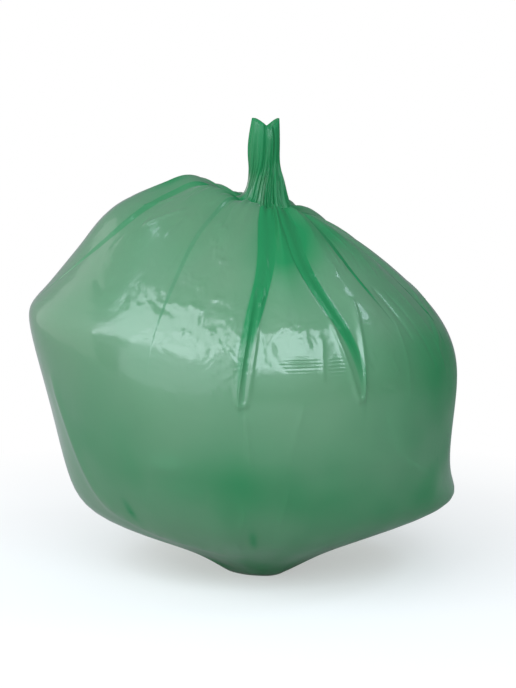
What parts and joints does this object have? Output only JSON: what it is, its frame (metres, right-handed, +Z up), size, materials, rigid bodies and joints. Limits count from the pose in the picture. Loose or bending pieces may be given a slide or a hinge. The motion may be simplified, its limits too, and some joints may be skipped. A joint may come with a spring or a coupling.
{
  "type": "filled bin bag",
  "caption": "Puffed-out translucent film bin bag with pleated shoulders, a gathered neck and an open mouth end.",
  "frame": {"origin": "middle of the bag's footprint, on the floor it stands on", "axes": "+Z up from the foot to the neck, +X to the right of the picture, -Y towards its viewer"},
  "size_m": [0.3394, 0.3012, 0.363],
  "materials": {
    "film": "thin translucent film"
  },
  "bodies": {
    "root": {"filled_bag": "film"}
  },
  "joints": []
}
